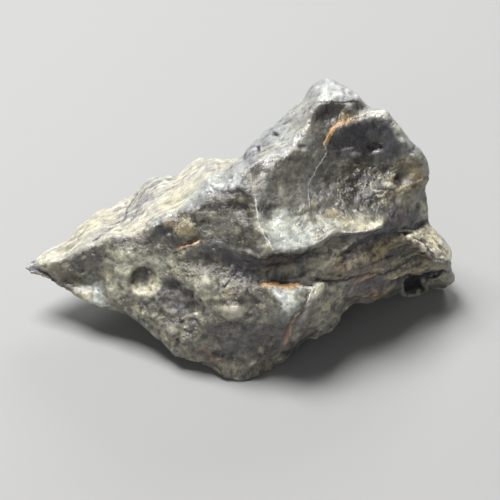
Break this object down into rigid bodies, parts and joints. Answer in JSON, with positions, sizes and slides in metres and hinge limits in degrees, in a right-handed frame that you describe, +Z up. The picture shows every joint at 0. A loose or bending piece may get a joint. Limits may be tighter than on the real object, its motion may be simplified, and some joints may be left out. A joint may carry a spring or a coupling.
{
  "type": "lunar meteorite",
  "caption": "Wedge-shaped meteorite stone with a pointed end, a scooped upper face, a jutting shelf over a long hollow, cracks and a broken blunt end.",
  "frame": {"origin": "middle of the bounding box's underside, on the plane the stone stands on", "axes": "+Z up from the standing flats; +X along the length, from the pointed end to the broken blunt end; -Y towards the side with the scooped face, shelf and cracks"},
  "size_m": [0.0444, 0.0218, 0.0234],
  "materials": {
    "stone": "dark grey to cream rock with a soft waxy sheen, pitted and cracked, with thin tan veins"
  },
  "bodies": {
    "root": {"meteorite": "stone"}
  },
  "joints": []
}
